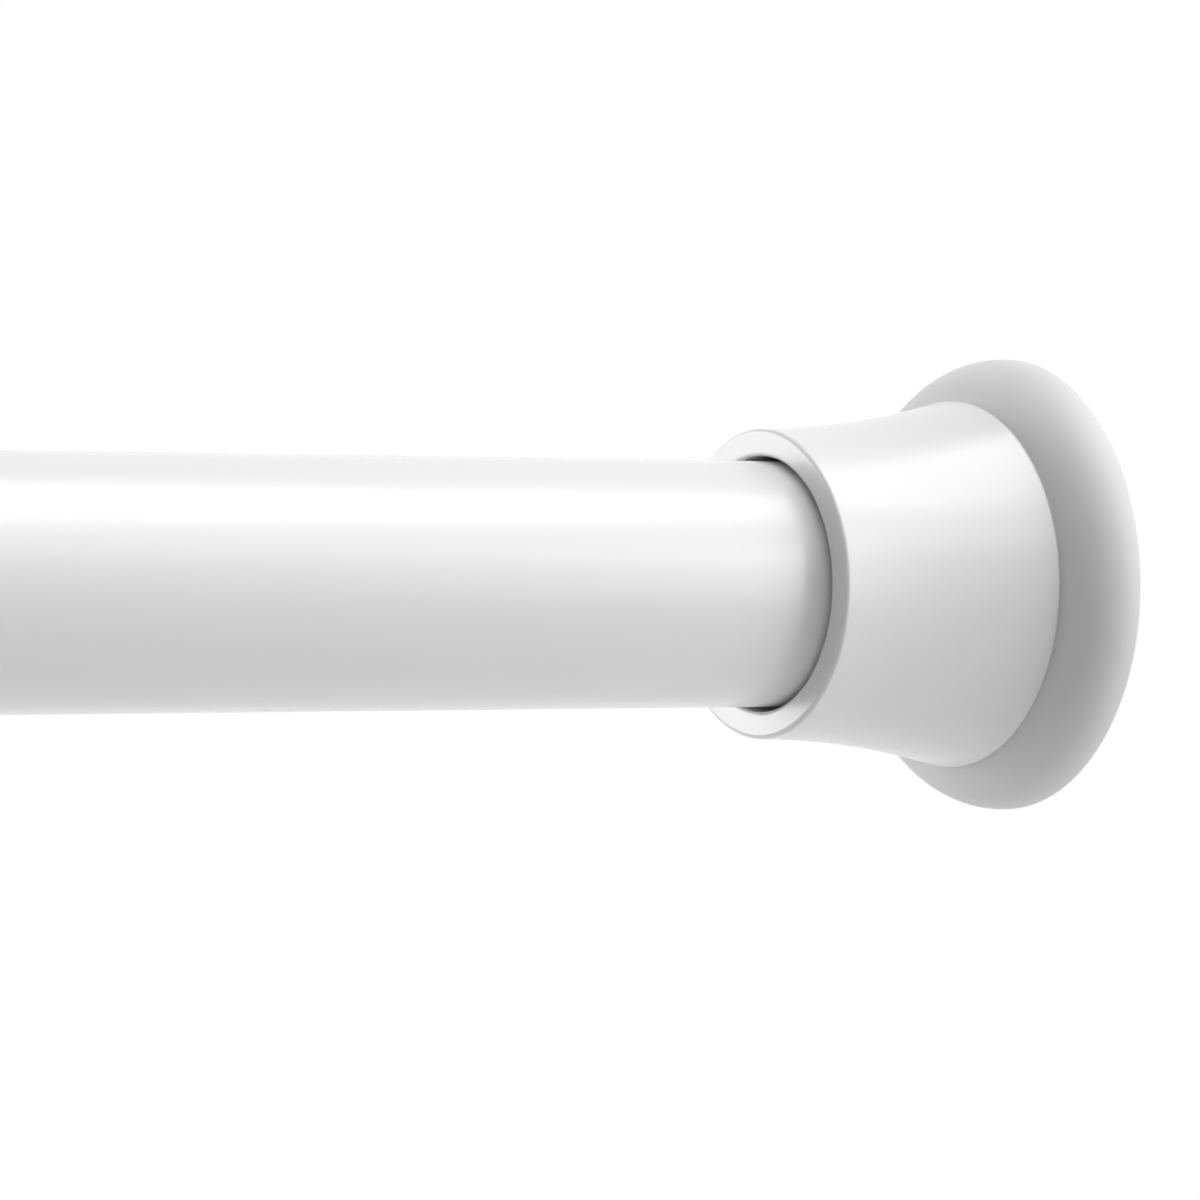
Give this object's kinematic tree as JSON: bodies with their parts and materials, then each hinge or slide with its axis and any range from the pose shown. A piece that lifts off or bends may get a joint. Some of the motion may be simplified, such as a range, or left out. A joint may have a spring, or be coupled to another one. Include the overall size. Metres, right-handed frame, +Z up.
{
  "type": "spring tension rod",
  "caption": "Telescoping white tension rod for curtains: spring-loaded thinner tube, twist lock, flared end collars and soft round wall feet.",
  "frame": {"origin": "centre of the right foot's wall face", "axes": "+X along the rod, out of the right foot into the wall; +Z up; -Y the side the picture is taken from"},
  "size_m": [0.508, 0.0476, 0.0476],
  "materials": {
    "tube_paint": "white gloss powder coat",
    "collar_plastic": "white, glossy",
    "foot_rubber": "white, soft satin",
    "bush_plastic": "natural white, satin",
    "plug_plastic": "natural white, satin",
    "zinc_steel": "zinc plated",
    "spring_steel": "drawn wire",
    "ring_rubber": "black, matte"
  },
  "bodies": {
    "outer_rod": {"outer_tube": "tube_paint", "mouth_bush": "bush_plastic", "right_end_plug": "plug_plastic", "right_foot_pad": "foot_rubber", "right_collar": "collar_plastic"},
    "expander": {"expander_sleeve": "bush_plastic", "drag_ring": "ring_rubber"},
    "nut": {"cone_nut": "bush_plastic"},
    "shaft": {"lock_shaft": "zinc_steel", "thrust_washer": "zinc_steel", "stop_clip": "zinc_steel", "spring_follower": "plug_plastic", "follower_pin": "zinc_steel"},
    "inner_rod": {"inner_tube": "tube_paint", "guide_bush": "bush_plastic", "spring_anchor": "plug_plastic", "anchor_pin": "zinc_steel", "seat_washer": "zinc_steel", "compression_spring": "spring_steel", "left_end_plug": "plug_plastic", "left_foot_pad": "foot_rubber", "left_collar": "collar_plastic"}
  },
  "joints": [
    {"name": "length_adjust", "type": "slide", "parent": "outer_rod", "child": "expander", "axis": [-1, 0, 0], "range_m": [-0.077, 0.102]},
    {"name": "nut_travel", "type": "slide", "parent": "expander", "child": "nut", "axis": [1, 0, 0], "range_m": [0, 0.003]},
    {"name": "twist_lock", "type": "hinge", "parent": "expander", "child": "shaft", "pos_m": [-0.21566, 0, 0], "axis": [1, 0, 0], "range_deg": [0, 540]},
    {"name": "spring_travel", "type": "slide", "parent": "shaft", "child": "inner_rod", "axis": [1, 0, 0], "range_m": [0, 0.025], "stiffness_N_per_m": 2110, "springref_m": -0.015, "deforming": ["compression_spring"]}
  ],
  "couplings": [
    {"joint": "nut_travel", "follows": "twist_lock", "m_per_rad": 0.00031831}
  ]
}
